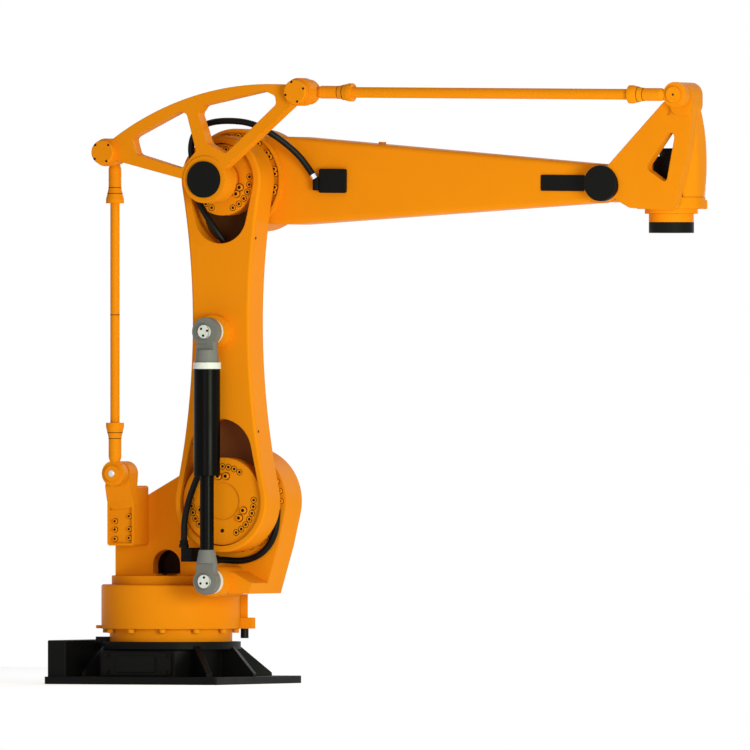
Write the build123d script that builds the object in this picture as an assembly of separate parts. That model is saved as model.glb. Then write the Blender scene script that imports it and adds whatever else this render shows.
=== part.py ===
from build123d import *
import math
import os

os.makedirs("parts", exist_ok=True)

# Four-axis palletising robot arm, in millimetres. +X is the way the arm reaches, +Y is
# the motor side, +Z is up, and the origin is on the slewing axis at the floor.

# Link lengths and axes
shoulder_x = 335
shoulder_z = 685
arm_length = 1200
forearm_length = 1520
forearm_droop = 0.65
flange_offset = 220
rocker_front_x = 388
rocker_front_z = 325
rocker_rear_x = -413
rocker_rear_z = 103
spring_offset = -13
spring_head_rise = 633
spring_foot_drop = 299

# Depths along Y, counted from the middle of the forearm
arm_near = -260
arm_thickness = 120
rod_standoff = 53
rocker_standoff = 77
spring_standoff = 86
running_gap = 0.3

# Base
plate_front_margin = 106
plate_width = 727
plate_thickness = 28
plate_corner = 8
anchor_hole = 27
anchor_rear_inset = 150
anchor_front_inset = 58
anchor_side_inset = 38.5
pedestal_top = 158
pedestal_drum_radius = 215
pedestal_flange_radius = 262
pedestal_flange_height = 28
gusset_thickness = 24
gusset_reach = 390
gusset_rear_reach = 350
gusset_top_drop = 5
gusset_margin = 18
gusset_toe_height = 12
gusset_root = 30
gusset_crest_inset = 12
side_box_length = 311
side_box_center = 20
side_box_inset = 43.5
side_box_top = 124
side_cover_length = 285
side_cover_height = 84
side_cover_thickness = 12
side_cover_pad_length = 158
side_cover_pad_height = 60
side_cover_pad_rise = 8
side_cover_corner = 10
side_cover_pad_corner = 8
cable_box_depth = 76
cable_box_width = 690
cable_box_height = 136
cable_box_setback = 5
cable_box_gap = 7
cable_box_fillet = 5
cable_panel_inset = 30
cable_panel_depth = 6
base_ring_radius = 230
base_ring_height = 48
stop_angle = 26
stop_radius = 276
stop_block_width = 40
stop_block_length = 52
stop_block_height = 18

# Turret
drum_radius = 261
drum_height = 166
drum_fillet = 8
plinth_radius = 222
plinth_height = 33
shoulder_housing_radius = 200
wall_near = -111
wall_far = 24
rear_wall_x = -177
rear_wall_top = 633
rear_body_far = 60
housing_nose_x = 501
housing_nose_z = 518
housing_toe_x = 447
housing_toe_z = 340
arch_center_x = 37
arch_width = 114
arch_height = 90
arch_sill = 8
arch_depth = 90
spring_shelf_near = -250
spring_shelf_width = 150
spring_boss_radius = 58
spring_shelf_lip = 14
spring_shelf_rise = 40
spring_shelf_blend = 0.6
spring_foot_seat = 60
housing_flank_angle = -12
shoulder_flange_radius = 158
bracket_width = 110
bracket_left = -149
bracket_foot_bottom = 518
bracket_foot_top = 742
bracket_foot_near = -235
bracket_rim = 9
bracket_recess_depth = 10
bracket_recess_top = 700
bracket_lug_near = -280
bracket_lug_far = -212
bracket_lug_radius = 46
bracket_rear_radius = 30
bracket_front_radius = 25
bracket_shoulder_drop = 60
bracket_slope_drop = 200
bracket_foot_fillet = 10
bracket_bore_depth = 60
bracket_pin_radius = 20
pin_head_radius = 30
pin_head_height = 12
pin_spacer_wall = 13
pin_nut_radius = 28
pin_nut_height = 18
shoulder_motor_setback = 85
motor_radius = 88
motor_length = 250
motor_flange_size = 210
motor_flange_corner = 24
motor_flange_thickness = 26
motor_cap_radius = 70
motor_cap_length = 40
slew_motor_x = -60
slew_motor_y = 158
slew_motor_radius = 62
slew_motor_height = 230
slew_flange_size = 140
slew_flange_corner = 16
slew_flange_thickness = 20
slew_cap_radius = 50
slew_cap_height = 35
lug_reach = 316
lug_width = 60
lug_height = 41
lug_rib_width = 24
lug_rib_height = 88
lug_rib_setback = 28
lug_root = 40
lug_corner = 16
bumper_radius = 15
bumper_length = 36
cable_block_setback = 149
cable_block_drop = 226
cable_block_length = 44
cable_block_height = 52
cable_block_near = -290

# Lower arm
arm_foot_radius = 191
arm_head_radius = 165
arm_flank_radius = 2900
window_depth = 88
disc_setback = 18
foot_window_radius = 167
foot_window_top_radius = 130
foot_window_top = 308
head_window_radius = 137
head_window_low_radius = 108
head_window_low = 238
arm_edge_fillet = 10
disc_margin = 4
disc_dish_radius = 70
disc_dish_depth = 5
axle_radius = 48
axle_collar = 14
axle_end_inset = 2
spring_pin_boss_radius = 63
spring_pin_radius = 22
spring_washer_radius = 25
spring_washer_height = 9

# Gas spring
barrel_radius = 49.5
barrel_bore = 43
barrel_start = 139
barrel_length = 399
barrel_cap = 12
barrel_lip_fillet = 2
collar_radius = 52.5
collar_height = 24
head_eye_radius = 53
foot_eye_radius = 49
spring_eye_thickness = 36
spring_spacer_length = 25
spring_spacer_radius = 47
spring_neck_half = 40
spring_neck_straight = 0.55
spring_neck_step = 4
spring_cheek_clear = 5
spring_rod_radius = 26
spring_rod_reach = 560
foot_neck_length = 118

# Rocker
rocker_thickness = 55
rocker_hub_radius = 88
rocker_hub_depth = 98
rocker_hub_proud = 4
rocker_cap_radius = 68
rocker_cap_height = 8
rocker_boss_radius = 52
rocker_arch_width = 46
rocker_arch_rise = 80
rocker_spoke_width = 40
rocker_rear_window = ((-304, 157), (-107, 253), (-75, 247), (-36, 106), (-97, 41), (-286, 96))
rocker_front_window = ((-29, 247), (-7, 276), (250, 329), (293, 311), (297, 279), (86, 96), (11, 135))
rocker_window_fillet = 18
rocker_pin_radius = 20
rocker_pin_cap_radius = 45
rocker_pin_cap_height = 31
rocker_pin_cap_fillet = 4
rocker_keeper_height = 8

# Tie rods
rod_eye_thickness = 34
rod_eye_radius = 47
rod_neck_radius = 24
rod_root_step = 4
rod_root_length = 14
rod_flare_step = 2
rod_collar_radius = 34
rod_collar_length = 60
rod_neck_length = 190
rear_rod_radius = 17.5
front_rod_radius = 20

# Forearm
elbow_radius = 192
forearm_half_width = 110
tip_half_width = 84
beam_root = 200
beam_root_height = 328
beam_end_setback = 70
beam_end_height = 144
beam_corner = 18
tip_radius = 70
tip_boss_radius = 55
ring_hub_radius = 150
ring_bore_radius = 60
ring_rim_inner = 180
ring_rim_near = -132
ring_face_near = -120
cover_center = 396
cover_length = 109
cover_height = 90
cover_thickness = 16
cover_corner = 8
blank_setback = 185
blank_length = 178
blank_height = 60
blank_thickness = 4
blank_corner = 5
top_boss_at = 545
top_boss_radius = 14
top_boss_rise = 9
top_boss_root = 20

# Wrist and tool flange, its lever counted from the wrist's pivot
wrist_half_width = 130
wrist_inner_half = 88
wrist_ear_radius = 70
wrist_bottom = 95
wrist_floor = 45
wrist_sole_step = 3
wrist_heel_x = 110
wrist_heel_radius = 20
wrist_toe_x = 278
wrist_toe_radius = 25
wrist_far_radius = 60
lever_root_radius = 31
lever_crest = (322, 270, 31)
lever_breast = (350, 143, 45)
lever_throat = (270, -62, 40)
lever_flat_x = 185
lever_disc_radius = 66
lever_window = ((362, 237), (278, -2), (194, 56))
lever_window_fillet = 16
nose_radius = 127
nose_band_height = 43
nose_step = 3
nose_waist = (285, -85, 110)
nose_waist_size = 200
nose_waist_corner = 75
nose_top_corner = 36
hollow_front = ((308, -50), (345, 110), (375, 235), (330, 250))
wrist_lug_radius = 46
wrist_lug_near = -274
wrist_lug_depth = 92
wrist_lug_root_z = 290
wrist_cap_radius = 67
wrist_cap_height = 28
wrist_cap_fillet = 5
pivot_pin_radius = 36
ring_radius = 99
ring_height = 18
neck_radius = 84
neck_height = 31
tool_flange_radius = 84
tool_flange_height = 40
tool_flange_fillet = 2
tool_bolt_circle = 125
tool_bolt_hole = 10.2
tool_bolt_count = 6
tool_bolt_depth = 24
tool_spigot_radius = 40
tool_spigot_depth = 8
wrist_motor_size = 112
wrist_motor_height = 150
wrist_motor_corner = 18
wrist_motor_cap_radius = 45
wrist_motor_cap_height = 30

# Hoses, each route counted from the joint that it hangs beside
hose_radius = 12
shoulder_hose_start = (-143, -277)
shoulder_hose_route = (
    (-143, -277, -129),
    (-141, -278, -73),
    (-127, -278, -13),
    (-107, -278, 43),
    (-90, -276, 85),
    (-81, -267, 104),
    (-77, -254, 112),
)
under_hose_route = ((-50, -219), (10, -225), (70, -215), (120, -185), (153, -140), (168, -88), (170.5, -30))
window_hose_route = (
    (-103, 0, -58),
    (-92, 0, -84),
    (-62, 0, -133),
    (-34, 6, -176),
    (-14, 20, -209),
    (-4, 33, -230),
)
elbow_hose_route = (
    (-57, -285, 28),
    (-99, -285, 57),
    (-113, -285, 115),
    (-97, -286, 175),
    (-45, -286, 212),
    (40, -285, 222),
    (138, -270, 212),
    (211, -222, 165),
    (270, -160, 100),
    (305, -127, 40),
    (330.8, -122, -1),
)

# Derived places
arm_far = arm_near + arm_thickness
window_floor = arm_near + window_depth
disc_face = arm_near + disc_setback
rod_plane = arm_near - rod_standoff
rocker_far = arm_near - rocker_standoff
rocker_near = rocker_far - rocker_thickness
spring_plane = arm_near - spring_standoff
spring_eye_near = spring_plane - spring_eye_thickness / 2
spring_eye_far = spring_plane + spring_eye_thickness / 2
spring_boss_near = spring_eye_far + running_gap + spring_spacer_length
elbow_x = shoulder_x
elbow_z = shoulder_z + arm_length
droop = math.radians(forearm_droop)
pivot_x = elbow_x + forearm_length * math.cos(droop)
pivot_z = elbow_z - forearm_length * math.sin(droop)
flange_x = pivot_x + flange_offset
wrist_pin_x = pivot_x + rocker_front_x
wrist_pin_z = pivot_z + rocker_front_z
bracket_pin_x = shoulder_x + rocker_rear_x
bracket_pin_z = shoulder_z + rocker_rear_z
spring_x = shoulder_x + spring_offset
spring_head_z = shoulder_z + spring_head_rise
spring_foot_z = shoulder_z - spring_foot_drop
ring_top = pedestal_top + base_ring_height
plate_rear = -pedestal_flange_radius - cable_box_gap - cable_box_depth - cable_box_setback
plate_front = pedestal_flange_radius + plate_front_margin
anchor_rear = plate_rear + anchor_rear_inset
anchor_front = plate_front - anchor_front_inset
anchor_side = plate_width / 2 - anchor_side_inset
side_box_near = -plate_width / 2 + side_box_inset
beam_end = forearm_length - beam_end_setback
cable_block_left = shoulder_x - cable_block_setback
cable_block_right = cable_block_left + cable_block_length
cable_block_bottom = shoulder_z - cable_block_drop
cable_block_top = cable_block_bottom + cable_block_height
drum_top = ring_top + drum_height
plinth_top = drum_top + plinth_height
rod_eye_near = rod_plane - rod_eye_thickness / 2
rod_eye_far = rod_plane + rod_eye_thickness / 2
wrist_pin_far = wrist_lug_near + wrist_lug_depth
hose_plane = disc_face - hose_radius - running_gap
under_hose_y = wall_near - hose_radius - running_gap
hub_near = rocker_near - rocker_hub_proud
hub_far = hub_near + rocker_hub_depth


def slab(profile, near, far):
    """A profile drawn in X and Z, given its depth along Y."""
    return extrude(Plane.XZ.offset(-far) * profile, amount=far - near)


def disc(x, z, radius, near, far):
    """A round piece on an axis that runs along Y."""
    return slab(Pos(x, z) * Circle(radius), near, far)


def post(x, y, radius, bottom, top):
    """A round piece on an upright axis."""
    return Pos(x, y, bottom) * extrude(Circle(radius), amount=top - bottom)


def block(x0, x1, y0, y1, z0, z1):
    """A square block between two corners."""
    low = (Align.MIN, Align.MIN, Align.MIN)
    return Pos(x0, y0, z0) * Box(x1 - x0, y1 - y0, z1 - z0, align=low)


def hull(*circles):
    """The taut outline round some circles, each given as x, z and radius."""
    rims = []
    for x, z, radius in circles:
        rims += (Pos(x, z) * Circle(radius)).edges()
    return make_hull(rims)


def hose(route):
    """A round hose along straight runs joined by arcs as large as the runs allow."""
    route = [Vector(*p) for p in route]
    radii = []
    for before, corner, after in zip(route, route[1:], route[2:]):
        turn = math.radians((corner - before).get_angle(after - corner))
        shorter = min((corner - before).length, (after - corner).length)
        radii.append(0.45 * shorter / math.tan(turn / 2))
    path = FilletPolyline(*route, radius=radii)
    section = Plane(origin=path @ 0, z_dir=path % 0) * Circle(hose_radius)
    return sweep(section, path=path)


def rod_end(collar_at, bore):
    """An eye on a necked shank with a flared lock collar, its pin along Y and its rod along +X."""
    eye = disc(0, 0, rod_eye_radius, -rod_eye_thickness / 2, rod_eye_thickness / 2)
    collar_end = collar_at + rod_collar_length
    shank = Polyline(
        (pin_head_radius + rod_root_step, 0),
        (pin_head_radius + rod_root_step, rod_eye_thickness / 2 - 1),
        (rod_eye_radius + rod_root_length, rod_neck_radius),
        (collar_at, rod_neck_radius),
        (collar_at + rod_collar_length * 0.2, rod_neck_radius + rod_flare_step),
        (collar_end - rod_collar_length * 0.25, rod_collar_radius),
        (collar_end, rod_collar_radius),
        (collar_end, 0),
        close=True,
    )
    shank = revolve(make_face(shank), Axis.X)
    return eye + shank - disc(0, 0, bore, -rod_eye_thickness, rod_eye_thickness)


def base_plate():
    middle = (plate_rear + plate_front) / 2
    outline = Pos(middle, 0) * RectangleRounded(plate_front - plate_rear, plate_width, plate_corner)
    for x in (anchor_rear, anchor_front):
        for y in (-anchor_side, anchor_side):
            outline -= Pos(x, y) * Circle(anchor_hole / 2)
    return extrude(outline, amount=plate_thickness)


def pedestal():
    drum = post(0, 0, pedestal_drum_radius, plate_thickness, pedestal_top)
    drum += post(0, 0, pedestal_flange_radius, pedestal_top - pedestal_flange_height, pedestal_top)
    inner = pedestal_drum_radius - gusset_root
    crown = pedestal_top - gusset_top_drop
    corner = gusset_reach
    rear = gusset_rear_reach
    ahead = plate_front - gusset_margin
    aside = plate_width / 2 - gusset_margin
    for angle, reach in ((42, corner), (-42, corner), (138, rear), (-138, rear), (0, ahead), (90, aside)):
        web = Polyline(
            (inner, plate_thickness),
            (reach, plate_thickness),
            (reach, plate_thickness + gusset_toe_height),
            (pedestal_flange_radius - gusset_crest_inset, crown),
            (inner, crown),
            close=True,
        )
        drum += Rot(0, 0, angle) * slab(make_face(web), -gusset_thickness / 2, gusset_thickness / 2)
    left = side_box_center - side_box_length / 2
    drum += block(left, left + side_box_length, side_box_near, 0, plate_thickness, side_box_top)
    return drum


def side_cover():
    middle = plate_thickness + (side_box_top - plate_thickness) / 2
    seat = Pos(side_box_center, middle)
    plate = seat * RectangleRounded(side_cover_length, side_cover_height, side_cover_corner)
    pad = seat * RectangleRounded(side_cover_pad_length, side_cover_pad_height, side_cover_pad_corner)
    face = side_box_near - side_cover_thickness
    return slab(plate, face, side_box_near) + slab(pad, face - side_cover_pad_rise, face)


def rear_cable_box():
    rear = plate_rear + cable_box_setback
    half = cable_box_width / 2
    top = plate_thickness + cable_box_height
    case = block(rear, rear + cable_box_depth, -half, half, plate_thickness, top)
    case = fillet(case.edges().filter_by(Axis.Z) + case.edges().group_by(Axis.Z)[-1], cable_box_fillet)
    side = half - cable_panel_inset
    low = plate_thickness + cable_panel_inset
    return case - block(rear - 1, rear + cable_panel_depth, -side, side, low, top - cable_panel_inset)


def stop_block():
    piece = block(
        base_ring_radius, base_ring_radius + stop_block_length, -stop_block_width / 2, stop_block_width / 2,
        pedestal_top, pedestal_top + stop_block_height,
    )
    piece -= post(0, 0, base_ring_radius + running_gap, 0, drum_top)
    return Rot(0, 0, stop_angle + 180) * piece


def turret_drum():
    drum = post(0, 0, drum_radius, ring_top, drum_top)
    return fillet(drum.edges().group_by(Axis.Z)[-1], drum_fillet)


def stop_lug():
    root = drum_radius - lug_root
    half = lug_width / 2
    lug_top = ring_top + lug_height
    lug = block(root, lug_reach, -half, half, ring_top, lug_top)
    rib_half = lug_rib_width / 2
    rib = block(root, lug_reach - lug_rib_setback, -rib_half, rib_half, ring_top, lug_top + lug_rib_height)
    lug = fillet(lug.edges().filter_by(Axis.Z).group_by(Axis.X)[-1], lug_corner) + rib
    return Rot(0, 0, stop_angle) * (lug - post(0, 0, drum_radius, 0, plinth_top))


def turret_casting():
    rise = shoulder_housing_radius
    reach = Vector(rear_wall_x - shoulder_x, rear_wall_top - shoulder_z)
    to_rear = math.degrees(math.atan2(reach.Y, reach.X))
    touch = math.radians(to_rear - math.degrees(math.acos(rise / reach.length)))
    flank = math.radians(housing_flank_angle)
    outline = Polyline(
        (rear_wall_x, plinth_top),
        (rear_wall_x, rear_wall_top),
        (shoulder_x + rise * math.cos(touch), shoulder_z + rise * math.sin(touch)),
        (shoulder_x, shoulder_z),
        (shoulder_x + rise * math.cos(flank), shoulder_z + rise * math.sin(flank)),
        (housing_nose_x, housing_nose_z),
        (housing_toe_x, housing_toe_z),
        (0, housing_toe_z),
        (0, plinth_top),
        close=True,
    )
    profile = make_face(outline) + Pos(shoulder_x, shoulder_z) * Circle(rise)
    wall = slab(profile, wall_near, wall_far)
    rear = make_face(Polyline(
        (rear_wall_x, plinth_top),
        (rear_wall_x, rear_wall_top),
        (arch_center_x, rear_wall_top),
        (shoulder_x - rise, plinth_top),
        close=True,
    ))
    wall += slab(rear, wall_near, rear_body_far)
    wall += post(0, 0, plinth_radius, drum_top, plinth_top)
    toe = housing_toe_x - spring_shelf_width
    shelf = Polyline(
        (toe, housing_toe_z),
        (housing_toe_x, housing_toe_z),
        (housing_toe_x + spring_shelf_lip, housing_toe_z + spring_shelf_rise),
        (spring_x + spring_boss_radius, spring_foot_z + spring_boss_radius * spring_shelf_blend),
        (spring_x - spring_boss_radius, spring_foot_z + spring_boss_radius * spring_shelf_blend),
        close=True,
    )
    wall += slab(make_face(shelf), spring_shelf_near, wall_near)
    wall += disc(spring_x, spring_foot_z, spring_boss_radius, spring_boss_near, wall_near)
    sill = plinth_top + arch_sill
    spring_line = sill + arch_height - arch_width / 2
    arch = Pos(arch_center_x, (sill + spring_line) / 2) * Rectangle(arch_width, spring_line - sill)
    arch += Pos(arch_center_x, spring_line) * Circle(arch_width / 2)
    wall -= slab(arch, wall_near - 1, wall_near + arch_depth)
    wall -= post(0, 0, drum_radius + running_gap, 0, drum_top)
    seat = spring_boss_near + spring_foot_seat
    return wall - disc(spring_x, spring_foot_z, spring_pin_radius, spring_boss_near - 1, seat)


def tie_rod_bracket():
    right = bracket_left + bracket_width
    foot = block(bracket_left, right, bracket_foot_near, wall_near, bracket_foot_bottom, bracket_foot_top)
    foot = fillet(foot.edges().filter_by(Axis.Y), bracket_foot_fillet)
    recess_far = bracket_foot_near + bracket_recess_depth
    low = bracket_foot_bottom + bracket_rim
    foot -= block(
        bracket_left + bracket_rim, right - bracket_rim,
        bracket_foot_near - 1, recess_far, low, bracket_recess_top,
    )
    shoulder = bracket_foot_top - bracket_shoulder_drop
    lug = slab(
        hull(
            (bracket_pin_x, bracket_pin_z, bracket_lug_radius),
            (bracket_left + bracket_rear_radius, shoulder, bracket_rear_radius),
            (right - bracket_front_radius, shoulder, bracket_front_radius),
        ),
        bracket_lug_near, bracket_lug_far,
    )
    slope = make_face(Polyline(
        (bracket_lug_near - 1, bracket_foot_top - bracket_slope_drop),
        (bracket_foot_near, bracket_foot_top - bracket_slope_drop),
        (bracket_foot_near, shoulder),
        (bracket_lug_near - 1, bracket_foot_top),
        close=True,
    ))
    lug -= Pos(bracket_left - bracket_width, 0, 0) * extrude(Plane.YZ * slope, amount=3 * bracket_width)
    spacer_radius = bracket_pin_radius + pin_spacer_wall
    spacer = disc(bracket_pin_x, bracket_pin_z, spacer_radius, rod_eye_far + running_gap, bracket_lug_near)
    bore_far = bracket_foot_near + bracket_bore_depth
    bore = disc(bracket_pin_x, bracket_pin_z, bracket_pin_radius, rod_eye_near, bore_far)
    return foot + lug + spacer - bore


def bracket_pin():
    head_far = rod_eye_near - running_gap
    shank = disc(bracket_pin_x, bracket_pin_z, bracket_pin_radius, head_far, bracket_lug_far)
    shank += disc(bracket_pin_x, bracket_pin_z, pin_head_radius, head_far - pin_head_height, head_far)
    nut = Pos(bracket_pin_x, bracket_pin_z) * RegularPolygon(pin_nut_radius, 6)
    return shank + slab(nut, bracket_lug_far, bracket_lug_far + pin_nut_height)


def servo_motor(x, z, face):
    """A finned servo motor lying along +Y on a square flange at the given face."""
    flange = Pos(x, z) * RectangleRounded(motor_flange_size, motor_flange_size, motor_flange_corner)
    motor = slab(flange, face, face + motor_flange_thickness)
    start = face + motor_flange_thickness
    motor += disc(x, z, motor_radius, start, start + motor_length)
    motor += disc(x, z, motor_cap_radius, start + motor_length, start + motor_length + motor_cap_length)
    return motor


def slew_motor():
    outline = RectangleRounded(slew_flange_size, slew_flange_size, slew_flange_corner)
    flange = Pos(slew_motor_x, slew_motor_y, plinth_top) * extrude(outline, amount=slew_flange_thickness)
    seat = plinth_top + slew_flange_thickness
    top = seat + slew_motor_height
    body = post(slew_motor_x, slew_motor_y, slew_motor_radius, seat, top)
    cap = post(slew_motor_x, slew_motor_y, slew_cap_radius, top, top + slew_cap_height)
    return flange + body + cap


def lower_arm():
    to_foot = arm_foot_radius + arm_flank_radius
    to_head = arm_head_radius + arm_flank_radius
    waist_z = (arm_length ** 2 + to_foot ** 2 - to_head ** 2) / (2 * arm_length)
    center_x = math.sqrt(to_foot ** 2 - waist_z ** 2)
    waist = center_x - arm_flank_radius
    foot_touch = Vector(center_x, waist_z) * (arm_foot_radius / to_foot)
    head_touch = Vector(0, arm_length) + Vector(center_x, waist_z - arm_length) * (arm_head_radius / to_head)
    outline = make_face([
        ThreePointArc((foot_touch.X, foot_touch.Y), (waist, waist_z), (head_touch.X, head_touch.Y)),
        ThreePointArc(
            (head_touch.X, head_touch.Y), (0, arm_length + arm_head_radius), (-head_touch.X, head_touch.Y)
        ),
        ThreePointArc((-head_touch.X, head_touch.Y), (-waist, waist_z), (-foot_touch.X, foot_touch.Y)),
        ThreePointArc((-foot_touch.X, foot_touch.Y), (0, -arm_foot_radius), (foot_touch.X, foot_touch.Y)),
    ])
    arm = slab(outline, arm_near, arm_far)
    arm = fillet(arm.faces().sort_by(Axis.Y)[0].outer_wire().edges(), arm_edge_fillet)
    foot_window = hull(
        (0, 0, foot_window_radius),
        (0, foot_window_top - foot_window_top_radius, foot_window_top_radius),
    )
    head_window = hull(
        (0, arm_length, head_window_radius),
        (0, arm_length - head_window_low + head_window_low_radius, head_window_low_radius),
    )
    for window in (foot_window, head_window):
        arm -= slab(window, arm_near - 1, window_floor)
    boss = disc(spring_offset, spring_head_rise, spring_pin_boss_radius, spring_boss_near, arm_near)
    arm += boss
    arm -= disc(spring_offset, spring_head_rise, spring_pin_radius, spring_plane, arm_near)
    return Pos(shoulder_x, 0, shoulder_z) * arm


def window_disc(z, radius):
    """The reducer that stands in an arm window, its bolted end face dished at the middle."""
    plate = disc(shoulder_x, z, radius, disc_face, window_floor)
    return plate - disc(shoulder_x, z, disc_dish_radius, disc_face - 1, disc_face + disc_dish_depth)


def rocker_axle():
    seat = disc_face + disc_dish_depth
    axle = disc(elbow_x, elbow_z, axle_radius, hub_near + axle_end_inset, seat)
    return axle + disc(elbow_x, elbow_z, axle_radius + axle_collar, hub_far + running_gap, seat)


def spring_pin(z, seat, depth):
    """The pin through a spring eye, with an end washer before the eye and a spacer behind it."""
    near = spring_eye_near - running_gap
    pin = disc(spring_x, z, spring_pin_radius, near, seat + depth)
    pin += disc(spring_x, z, spring_washer_radius, near - spring_washer_height, near)
    return pin + disc(spring_x, z, spring_spacer_radius, spring_eye_far + running_gap, spring_boss_near)


def spring_eye(radius, neck_end, neck_half):
    """A cast eye with a tapering neck that runs up along +Z from its pin."""
    half = spring_eye_thickness / 2
    body = disc(0, 0, radius, -half, half)
    neck = make_face(Polyline(
        (0, 0),
        (spring_neck_half, 0),
        (spring_neck_half, neck_end * spring_neck_straight),
        (neck_half, neck_end),
        (0, neck_end),
        close=True,
    ))
    neck = revolve(Plane.XZ * neck, Axis.Z)
    clear = spring_pin_boss_radius + spring_cheek_clear
    cheek = block(-radius, radius, -half, half, 0, clear)
    neck &= cheek + block(-radius, radius, -radius, radius, clear, neck_end)
    return body + neck - disc(0, 0, spring_pin_radius + running_gap, -radius, radius)


def rocker_frame():
    front = (rocker_front_x, rocker_front_z)
    rear = (rocker_rear_x, rocker_rear_z)
    middle = ((front[0] + rear[0]) / 2, (front[1] + rear[1]) / 2)
    chord = Vector(front[0] - rear[0], front[1] - rear[1]).normalized()
    crest = (middle[0] - chord.Y * rocker_arch_rise, middle[1] + chord.X * rocker_arch_rise)
    arch = ThreePointArc(rear, crest, front)
    frame = trace(arch, line_width=rocker_arch_width)
    frame += trace(Line((0, 0), front), line_width=rocker_spoke_width)
    frame += trace(Line((0, 0), rear), line_width=rocker_spoke_width)
    frame += Circle(rocker_hub_radius)
    frame += Pos(*front) * Circle(rocker_boss_radius)
    frame += Pos(*rear) * Circle(rocker_boss_radius)
    frame += make_face([arch, Line(front, (0, 0)), Line((0, 0), rear)])
    for corners in (rocker_rear_window, rocker_front_window):
        window = make_face(Polyline(*corners, close=True))
        frame -= fillet(window.vertices(), rocker_window_fillet)
    plate = slab(frame, rocker_near, rocker_far)
    plate += disc(0, 0, rocker_hub_radius, hub_near, hub_far)
    plate -= disc(0, 0, axle_radius + running_gap, hub_near - 1, hub_far + 1)
    for x, z in (front, rear):
        plate -= disc(x, z, rocker_pin_radius, rocker_near - 1, rocker_far + 1)
    return Pos(elbow_x, 0, elbow_z) * plate


def rocker_pins():
    pins = []
    for x, z in ((rocker_front_x, rocker_front_z), (rocker_rear_x, rocker_rear_z)):
        x += elbow_x
        z += elbow_z
        tail = rod_eye_far + running_gap
        pin = disc(x, z, rocker_pin_radius, rocker_near, tail)
        cap = disc(x, z, rocker_pin_cap_radius, rocker_near - rocker_pin_cap_height, rocker_near)
        cap = fillet(cap.edges().group_by(Axis.Y)[0], rocker_pin_cap_fillet)
        pins.append(pin + cap + disc(x, z, pin_head_radius, tail, tail + rocker_keeper_height))
    return pins


def forearm_beam():
    half = forearm_half_width
    beam = disc(0, 0, elbow_radius, -half, half)
    sections = []
    ends = ((beam_root, half, beam_root_height), (beam_end, tip_half_width, beam_end_height))
    for x, width, height in ends:
        plane = Plane(origin=(x, 0, 0), x_dir=(0, 1, 0), z_dir=(1, 0, 0))
        sections.append(plane * RectangleRounded(2 * width, height, beam_corner))
    root = sections[0]
    beam += loft(sections)
    beam += extrude(root, amount=-beam_root)
    tip = disc(forearm_length, 0, tip_radius, -tip_half_width, tip_half_width)
    end_plane = Plane(origin=(beam_end, 0, 0), x_dir=(0, 1, 0), z_dir=(1, 0, 0))
    tip += extrude(end_plane * Rectangle(2 * tip_half_width, 2 * tip_radius), amount=beam_end_setback)
    seat = wrist_inner_half - running_gap
    tip += disc(forearm_length, 0, tip_boss_radius, -seat, seat)
    tip -= disc(forearm_length, 0, pivot_pin_radius + running_gap, -wrist_half_width, wrist_half_width)
    beam += tip
    share = (top_boss_at - beam_root) / (beam_end - beam_root)
    crown = beam_root_height / 2 + share * (beam_end_height - beam_root_height) / 2
    return beam + post(top_boss_at, 0, top_boss_radius, crown - top_boss_root, crown + top_boss_rise)


def beam_face(x):
    """The plane of the forearm's near flank, centred at a distance from the elbow axis."""
    lean = math.atan2(forearm_half_width - tip_half_width, beam_end - beam_root)
    y = -forearm_half_width + (x - beam_root) * math.tan(lean)
    along = (math.cos(lean), math.sin(lean), 0)
    outward = (math.sin(lean), -math.cos(lean), 0)
    return Plane(origin=(x, y, 0), x_dir=along, z_dir=outward)


def forearm_place(piece):
    return Location((elbow_x, 0, elbow_z), (0, forearm_droop, 0)) * piece


def wrist_lever(lug):
    """The near wall of the wrist, leaning out from its pivot to the tie rod's lug."""
    half = wrist_half_width
    sole = -wrist_bottom + wrist_sole_step
    outline = lug + hull(
        (0, 0, lever_root_radius),
        lever_crest,
        (rocker_front_x, wrist_lug_root_z, wrist_lug_radius),
        lever_breast,
        lever_throat,
        (wrist_toe_x, sole + wrist_toe_radius, wrist_toe_radius),
        (wrist_heel_x, sole + wrist_heel_radius, wrist_heel_radius),
    )
    fall = wrist_bottom / lever_flat_x
    lean_z = (-half - wrist_lug_near) / (rocker_front_x * fall + rocker_front_z)
    lean_x = lean_z * fall
    face = Plane(origin=(0, -half, 0), x_dir=(1, -lean_x, 0), z_dir=(-lean_x, -1, -lean_z))
    reach = 4 * rocker_front_x
    sheet = Box(reach, reach, half - wrist_inner_half, align=(Align.CENTER, Align.CENTER, Align.MAX))
    wall = slab(outline, 2 * wrist_lug_near, -wrist_inner_half) & (face * sheet)
    window = make_face(Polyline(*lever_window, close=True))
    wall -= slab(fillet(window.vertices(), lever_window_fillet), 2 * wrist_lug_near, 0)
    wall -= disc(0, 0, wrist_cap_radius + running_gap, 2 * wrist_lug_near, -half)
    return wall + disc(0, 0, lever_disc_radius, -half, -wrist_inner_half)


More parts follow.
